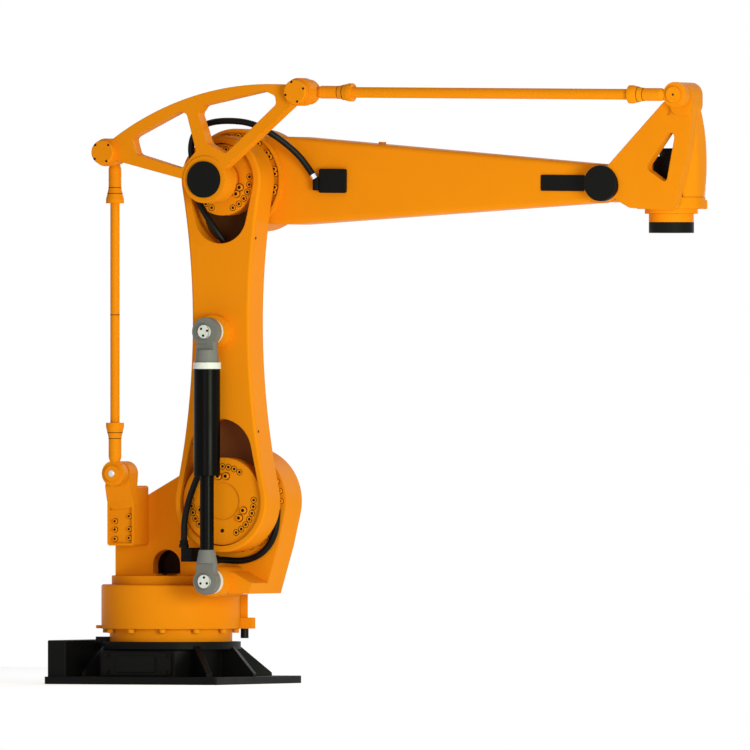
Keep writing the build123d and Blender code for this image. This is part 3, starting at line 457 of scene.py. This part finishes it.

# painted shade at the backs of the two arm windows: dark sheets standing in for the shade of the hollow arm,
# each the hull of two round ends given as (rise, radius)
windowShadeSheets = {"y": -0.172, "thick": 0.0006, "inset": 0.001, "sides": 64, "flatAngle": 0.01,
               "shoulder": ((0.0, 0.167), (0.178, 0.130)), "shoulderLook": "paintedShadeBronze",
               "elbow": ((0.0, 0.137), (-0.130, 0.108)), "elbowLook": "paintedShadeBrown"}
for joint, center in (("shoulder", shoulder), ("elbow", elbow)):
    bm = bmesh.new()
    for rise, radius in windowShadeSheets[joint]:
        reach = radius - windowShadeSheets["inset"]
        at = (center[0], windowShadeSheets["y"] - windowShadeSheets["thick"] / 2, center[1] + rise)
        bmesh.ops.create_cone(bm, segments=windowShadeSheets["sides"], radius1=reach, radius2=reach,
                              depth=windowShadeSheets["thick"], matrix=facing(at, nearWay))
    bmesh.ops.delete(bm, geom=bm.edges[:], context="EDGES_FACES")
    hull = bmesh.ops.convex_hull(bm, input=bm.verts[:])
    spare = {v for v in hull["geom_interior"] + hull["geom_unused"] if isinstance(v, bmesh.types.BMVert)}
    bmesh.ops.delete(bm, geom=list(spare), context="VERTS")
    bmesh.ops.dissolve_limit(bm, angle_limit=windowShadeSheets["flatAngle"], verts=bm.verts[:], edges=bm.edges[:])
    addPiece(joint + "WindowShadeSheet", bm, "lower_arm", "orange_paint", windowShadeSheets[joint + "Look"])

# painted shade inside the arch of the turret's rear wall: a thin dark cup with its mouth towards the near
# side
archShadeCup = {"x": 0.037, "half": 0.057, "sill": 0.413, "spring": 0.446, "front": -0.068, "back": -0.0216,
              "gap": 0.0005, "skin": 0.0008, "steps": 20}
half = archShadeCup["half"] - archShadeCup["gap"]
sill = archShadeCup["sill"] + archShadeCup["gap"]
depth = archShadeCup["back"] - archShadeCup["front"]
archTop = Vector((archShadeCup["x"], archShadeCup["back"], archShadeCup["spring"]))
bm = bmesh.new()
arcStart = bm.verts.new(archTop + Vector((half, 0, 0)))
bmesh.ops.spin(bm, geom=[arcStart], cent=archTop, axis=nearWay, angle=math.pi, steps=archShadeCup["steps"])
arcEnd = min(bm.verts, key=lambda v: v.co.x)
feet = [bm.verts.new((archShadeCup["x"] + side * half, archShadeCup["back"], sill)) for side in (-1, 1)]
for pair in ((arcEnd, feet[0]), feet, (feet[1], arcStart)):
    bm.edges.new(pair)
back = bmesh.ops.contextual_create(bm, geom=bm.edges[:])["faces"][0]
drawn = bmesh.ops.extrude_face_region(bm, geom=[back], use_keep_orig=True)["geom"]
drawnVerts = [v for v in drawn if isinstance(v, bmesh.types.BMVert)]
bmesh.ops.translate(bm, verts=drawnVerts, vec=(0, -depth, 0))
mouth = next(f for f in drawn if isinstance(f, bmesh.types.BMFace))
bmesh.ops.recalc_face_normals(bm, faces=bm.faces)
bmesh.ops.inset_region(bm, faces=[mouth], thickness=archShadeCup["skin"], depth=0)
bmesh.ops.inset_region(bm, faces=[mouth], thickness=0, depth=archShadeCup["skin"] - depth)
addPiece("archShadeCup", bm, "turret", "black_trim", "darkTrimAndPaintedShade")
print("windows and arch shaded")

# screws round the shoulder housing, behind the arm, clear of the hose that passes there
housingScrews = {"y": -0.111, "out": 0.181, "step": 12, "hose": (315, 358), "size": 0.0085, "height": 0.011}
hoseFrom, hoseTo = housingScrews["hose"]
angles = [a for a in range(0, 360, housingScrews["step"]) if not hoseFrom <= a <= hoseTo]
addScrews("housingScrews", "turret", ringSpots(shoulder, housingScrews["y"], housingScrews["out"], angles),
          housingScrews["size"], housingScrews["height"])

# pairs of screws in the groove of the elbow ring
ringScrews = {"y": -0.120, "out": 0.165, "pairs": 15, "first": 11.0, "apart": 6.5, "size": 0.0092,
              "height": 0.010}
angles = [ringScrews["first"] + i * 360 / ringScrews["pairs"] + side * ringScrews["apart"] / 2
          for i in range(ringScrews["pairs"]) for side in (-1, 1)]
addScrews("ringScrews", "forearm", ringSpots(elbow, ringScrews["y"], ringScrews["out"], angles),
          ringScrews["size"], ringScrews["height"])

# bolts hanging under the rim of the drum
drumBolts = {"z": 0.206, "out": 0.245, "count": 12, "first": -71.0, "size": 0.013, "height": 0.014}
turns = [math.radians(drumBolts["first"] + i * 360 / drumBolts["count"]) for i in range(drumBolts["count"])]
spots = [((drumBolts["out"] * math.cos(t), drumBolts["out"] * math.sin(t), drumBolts["z"]), (0, 0, -1))
         for t in turns]
addScrews("drumBolts", "turret", spots, drumBolts["size"], drumBolts["height"])

# small lug on the drum's left
drumLug = {"turn": 206.0, "out": 0.267, "z": 0.213, "size": (0.028, 0.042, 0.012), "edge": 0.003}
bm = bmesh.new()
place = Matrix.Rotation(math.radians(drumLug["turn"]), 4, "Z")
place = place @ Matrix.Translation((drumLug["out"], 0, drumLug["z"]))
addBlock(bm, place, drumLug["size"], drumLug["edge"])
addPiece("drumLug", bm, "turret", "orange_paint", "orangePaint")
print("housing, ring and drum bolts placed")

# six screws in the recess of the tie-rod bracket, in two columns of (x, heights)
bracketScrews = {"y": -0.225, "left": (-0.120, (0.609, 0.578, 0.543)),
                 "right": (-0.061, (0.628, 0.580, 0.547)), "size": 0.009, "height": 0.006}
spots = [((x, bracketScrews["y"], z), nearWay)
         for x, heights in (bracketScrews["left"], bracketScrews["right"]) for z in heights]
addScrews("bracketScrews", "turret", spots, bracketScrews["size"], bracketScrews["height"])

# bright end of the bracket's pin
pinEnd = {"radius": 0.0125, "height": 0.003}
addDots("bracketPinEnd", "turret", ringSpots(bracketPin, nearOf("bracket_pin"), 0, (0,)), pinEnd["radius"],
        "bare_steel", "machinedSteel", pinEnd["height"])

# three dark screws in each white spring washer
washerScrews = {"out": 0.0150, "size": 0.0048, "headAngles": (13, 135, 262), "footAngles": (85, 209, 333)}
for end, body in (("head", "lower_arm"), ("foot", "turret")):
    pinFace = nearOf("spring_" + end + "_pin")
    spots = ringSpots((spring["x"], spring[end]), pinFace, washerScrews["out"], washerScrews[end + "Angles"])
    addDots(end + "WasherScrews", body, spots, washerScrews["size"])

# four screws in each rocker pin cap
capScrews = {"out": 0.0385, "size": 0.0046, "front": (18, 108, 198, 288), "rear": (45, 135, 220, 300)}
capFace = nearOf("rocker_pins")
spots = ringSpots(rockerFront, capFace, capScrews["out"], capScrews["front"])
spots += ringSpots(rockerRear, capFace, capScrews["out"], capScrews["rear"])
addDots("pinCapScrews", "rocker", spots, capScrews["size"])

# centre mark and ring on the wrist's tie-rod pin
wristPinMarks = {"dot": 0.0042, "ring": (0.0185, 0.0215), "height": 0.0008}
pinFace = nearOf("wrist_rod_pin")
addDots("wristPinDot", "wrist", ringSpots(wristPin, pinFace, 0, (0,)), wristPinMarks["dot"])
bm = bmesh.new()
addTurned(bm, facing((wristPin[0], pinFace, wristPin[1]), nearWay),
          ringProfile(*wristPinMarks["ring"], 0, wristPinMarks["height"]))
addPiece("wristPinRing", bm, "wrist", "orange_paint", "boltOrange")

# painted shade of a groove round each spring pin and of a short slot under the upper one, as a thin darker
# grey ring on each eye and a bar under the upper pin
eyeGrooves = {"radii": (0.0300, 0.0318), "height": 0.0004, "slotDrop": 0.046,
              "slot": (0.044, 0.0008, 0.0016), "slotEdge": 0.0002}
for name, end, body in (("springCylinderGrooves", "head", "spring_cylinder"),
                        ("springPlungerGrooves", "foot", "spring_plunger")):
    eyeFace = nearOf("spring_" + end + "_eye")
    bm = bmesh.new()
    addTurned(bm, facing((spring["x"], eyeFace, spring[end]), nearWay),
              ringProfile(*eyeGrooves["radii"], 0, eyeGrooves["height"]))
    if end == "head":
        place = Matrix.Translation((spring["x"], eyeFace, spring[end] - eyeGrooves["slotDrop"]))
        addBlock(bm, place, eyeGrooves["slot"], eyeGrooves["slotEdge"])
    addPiece(name, bm, body, "spring_grey", "grooveShadeGrey")
print("pin details placed")


# four spots near the corners of a node's near face
def cornerSpots(node, inX, inZ):
    low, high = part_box(node)
    return [((x, low.y, z), nearWay) for x in (low.x + inX, high.x - inX)
            for z in (low.z + inZ, high.z - inZ)]


# side cover screws on the base
coverScrews = {"inX": 0.020, "inZ": 0.012, "size": 0.007, "height": 0.005}
addScrews("coverScrews", "base", cornerSpots("side_cover", coverScrews["inX"], coverScrews["inZ"]),
          coverScrews["size"], coverScrews["height"], "base_paint", "pedestalBlack")

# two round connectors on the base's rear box, turned from one profile, and its panel screws
rearPanel = {"x": -0.339, "connectorYs": (-0.14, 0.14), "connectorZ": 0.096,
             "connector": ((0, 0), (0.032, 0), (0.032, 0.003), (0.027, 0.003), (0.027, 0.005),
                           (0.022, 0.0055), (0.022, 0.001), (0, 0.001)),
             "screwYs": (-0.295, 0.0, 0.295), "screwZs": (0.068, 0.124), "size": 0.006, "height": 0.005}
rearWay = (-1, 0, 0)
bm = bmesh.new()
for y in rearPanel["connectorYs"]:
    addTurned(bm, facing((rearPanel["x"], y, rearPanel["connectorZ"]), rearWay), rearPanel["connector"])
addPiece("rearConnectors", bm, "base", "base_paint", "motorBlack")
spots = [((rearPanel["x"], y, z), rearWay) for y in rearPanel["screwYs"] for z in rearPanel["screwZs"]]
addScrews("rearPanelScrews", "base", spots, rearPanel["size"], rearPanel["height"], "base_paint",
          "pedestalBlack")
print("base details placed")

# nub on the forearm's junction cover, where its hose goes in
coverNub = {"size": (0.022, 0.022, 0.046), "out": 0.4, "y": -0.124, "z": 1.868, "edge": 0.003}
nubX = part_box("junction_cover")[0].x - coverNub["size"][0] * coverNub["out"]
bm = bmesh.new()
addBlock(bm, Matrix.Translation((nubX, coverNub["y"], coverNub["z"])), coverNub["size"], coverNub["edge"])
addPiece("coverNub", bm, "forearm", "black_trim", "capBlack")

# corner screws of the junction cover
junctionScrews = {"in": 0.011, "size": 0.0045, "height": 0.0025}
addScrews("junctionScrews", "forearm",
          cornerSpots("junction_cover", junctionScrews["in"], junctionScrews["in"]),
          junctionScrews["size"], junctionScrews["height"], "black_trim", "capBlack")

# little boss on the wrist's nose
wristBoss = {"out": 0.1255, "z": -0.079, "size": (0.016, 0.032, 0.034), "edge": 0.004}
bm = bmesh.new()
place = Matrix.Translation((toolX, 0, wristPivot[1] + wristBoss["z"])) @ Matrix.Rotation(turn, 4, "Z")
place = place @ Matrix.Translation((wristBoss["out"], 0, 0))
addBlock(bm, place, wristBoss["size"], wristBoss["edge"])
addPiece("wristBoss", bm, "wrist", "orange_paint", "castOrange")

# painted shade in the seams where each tie-rod eye screws into its collar, as thin dark bands at (distance
# from the pin, radius)
rodSeams = {"y": -0.313, "at": ((0.130, 0.0246), (0.152, 0.0292)), "tube": (0.592, 0.0179), "width": 0.0022,
            "deep": 0.003}
for name, body, ends in (("rearRodSeams", "rear_rod", (bracketPin, rockerRear)),
                         ("frontRodSeams", "front_rod", (rockerFront, wristPin))):
    bm = bmesh.new()
    for here, there in (ends, ends[::-1]):
        start = Vector((here[0], rodSeams["y"], here[1]))
        way = (Vector((there[0], rodSeams["y"], there[1])) - start).normalized()
        seams = list(rodSeams["at"])
        if here == bracketPin:  # the rear tube has a joint of its own
            seams.append(rodSeams["tube"])
        for along, radius in seams:
            addTurned(bm, facing(start + way * along, way),
                      ringProfile(radius - rodSeams["deep"], radius, 0, rodSeams["width"]))
    addPiece(name, bm, body, "black_trim", "darkTrimAndPaintedShade")
print("junction, wrist and rod details placed")

# motors on the far side: fins, and a connector box with a turned plug each
motors = {"fins": 28, "radius": 0.088, "fin": (0.005, 0.180, 0.006), "finEdge": 0.001, "back": 0.02,
          "box": (0.070, 0.080, 0.034), "boxEdge": 0.005, "boxBack": 0.04, "plug": 0.019, "neck": 0.8,
          "shoulderRise": 0.016, "neckRise": 0.018, "plugRise": 0.028}
plugNeck = motors["plug"] * motors["neck"]
plugProfile = [(0, 0), (motors["plug"], 0), (motors["plug"], motors["shoulderRise"]),
               (plugNeck, motors["neckRise"]), (plugNeck, motors["plugRise"]), (0, motors["plugRise"])]
for name, node, body in (("shoulderMotorFins", "shoulder_motor", "turret"),
                         ("elbowMotorFins", "elbow_motor", "forearm")):
    low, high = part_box(node)
    middle = (low + high) / 2
    finMiddle = Matrix.Translation((middle.x, middle.y + motors["back"], middle.z))
    bm = bmesh.new()
    for i in range(motors["fins"]):
        swing = Matrix.Rotation(2 * math.pi * i / motors["fins"], 4, "Y")
        place = finMiddle @ swing @ Matrix.Translation((0, 0, motors["radius"]))
        addBlock(bm, place, motors["fin"], motors["finEdge"])
    boxY = middle.y + motors["boxBack"]
    boxZ = middle.z + motors["radius"] + motors["box"][2] / 2
    addBlock(bm, Matrix.Translation((middle.x, boxY, boxZ)), motors["box"], motors["boxEdge"])
    addTurned(bm, facing((middle.x, boxY, boxZ + motors["box"][2] / 2), zAxis), plugProfile)
    addPiece(name, bm, body, "motor_black", "motorBlack")
print("motor details placed")

# hoses: the CAD hoses' own route points, from the shoulder or elbow axis
hoses = {
    "shoulderHose": {"node": "shoulder_hose", "body": "turret", "from": shoulder, "length": 0.316, "route": (
        (-0.143, -0.277, -0.1737), (-0.143, -0.277, -0.129), (-0.141, -0.278, -0.073),
        (-0.127, -0.278, -0.013), (-0.107, -0.278, 0.043), (-0.090, -0.276, 0.085), (-0.081, -0.267, 0.104),
        (-0.077, -0.254, 0.112), (-0.077, -0.2423, 0.112))},
    "underArmHose": {"node": "under_arm_hose", "body": "turret", "from": shoulder, "length": 0.399, "route": (
        (-0.1047, -0.1233, -0.219), (-0.050, -0.1233, -0.219), (0.010, -0.1233, -0.225),
        (0.070, -0.1233, -0.215), (0.120, -0.1233, -0.185), (0.153, -0.1233, -0.140),
        (0.168, -0.1233, -0.088), (0.1705, -0.1233, -0.030))},
    "windowHose": {"node": "window_hose", "body": "lower_arm", "from": elbow, "length": 0.2045, "route": (
        (-0.103, -0.2543, -0.058), (-0.092, -0.2543, -0.084), (-0.062, -0.2543, -0.133),
        (-0.034, -0.2483, -0.176), (-0.014, -0.2343, -0.209), (-0.004, -0.2213, -0.230))},
    "elbowHose": {"node": "elbow_hose", "body": "forearm", "from": elbow, "length": 0.741, "route": (
        (-0.057, -0.285, 0.028), (-0.099, -0.285, 0.057), (-0.113, -0.285, 0.115), (-0.097, -0.286, 0.175),
        (-0.045, -0.286, 0.212), (0.040, -0.285, 0.222), (0.138, -0.270, 0.212), (0.211, -0.222, 0.165),
        (0.270, -0.160, 0.100), (0.305, -0.127, 0.040), (0.3308, -0.122, -0.001))},
}
hoseShape = {"radius": 0.012, "roundSteps": 6, "alongSteps": 10, "order": 3}
hoseRadius = hoseShape["radius"]


def addHose(name, hose):
    points = [Vector((hose["from"][0] + x, y, hose["from"][1] + z)) for x, y, z in hose["route"]]
    curve = bpy.data.curves.new(name, "CURVE")
    curve.dimensions = "3D"
    curve.bevel_depth = hoseRadius
    curve.bevel_resolution = hoseShape["roundSteps"]
    curve.resolution_u = hoseShape["alongSteps"]
    curve.use_fill_caps = True
    spline = curve.splines.new("NURBS")
    spline.points.add(len(points) - 1)
    for point, at in zip(spline.points, points):
        point.co = (*at, 1)
    spline.order_u = hoseShape["order"]
    spline.use_endpoint_u = True
    piece = bpy.data.objects.new(name, curve)
    register(piece, hose["body"], ["rubberBlack"])
    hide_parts(hose["node"])
    return points


# gland at a hose's first end: a nut and a sleeve, each (radius, height), and the lips that close them in
glands = {"nut": (0.0185, 0.012), "nutLip": 0.002, "sleeve": (0.0160, 0.026), "sleeveLip": 0.003,
          "sides": 24}
nutR, nutH = glands["nut"]
sleeveR, sleeveH = glands["sleeve"]
glandProfile = [(hoseRadius, 0), (nutR, 0), (nutR, nutH), (sleeveR, nutH + glands["nutLip"]),
                (sleeveR, sleeveH), (hoseRadius, sleeveH + glands["sleeveLip"]), (hoseRadius, 0)]
# bright sleeve at the elbow hose's far end
steelSleeve = {"radius": 0.0140, "from": 0.006, "to": 0.024, "sides": 24}
for name, hose in hoses.items():
    points = addHose(name, hose)
    if name != "windowHose":
        bm = bmesh.new()
        addTurned(bm, facing(points[0], points[1] - points[0]), glandProfile, glands["sides"])
        addPiece(name + "Gland", bm, hose["body"], "black_trim", "capBlack")
    if name == "elbowHose":
        profile = ringProfile(hoseRadius, steelSleeve["radius"], steelSleeve["from"], steelSleeve["to"])
        bm = bmesh.new()
        addTurned(bm, facing(points[-1], points[-2] - points[-1]), profile, steelSleeve["sides"])
        addPiece("elbowHoseSleeve", bm, hose["body"], "bare_steel", "machinedSteel")
print("hoses laid:", len(hoses))

# pale floor, softly lit from within, white where nothing shades it
floorLook = {"size": 9.0, "middle": (0.8, 0, -0.0005), "tone": (0.86, 0.86, 0.86), "darker": 0.99,
             "rough": 0.9, "shine": 0.1, "grain": 1.3, "detail": 3.0, "glow": 0.60}
floorData = bpy.data.meshes.new("floor")
bm = bmesh.new()
bmesh.ops.create_grid(bm, x_segments=1, y_segments=1, size=floorLook["size"] / 2,
                      matrix=Matrix.Translation(floorLook["middle"]))
bm.to_mesh(floorData)
bm.free()
floor = bpy.data.objects.new("floor", floorData)
floorFinish, tree, shader = newFinish("floorPale", floorLook["tone"], floorLook["rough"],
                                      shine=floorLook["shine"])
darkTone = tuple(t * floorLook["darker"] for t in floorLook["tone"])
toned(tree, shader, grain(tree, floorLook["grain"], floorLook["detail"]), darkTone, floorLook["tone"])
shader.inputs["Emission Color"].default_value = white
shader.inputs["Emission Strength"].default_value = floorLook["glow"]
floorData.materials.append(floorFinish)
scene.collection.objects.link(floor)
print("floor laid")
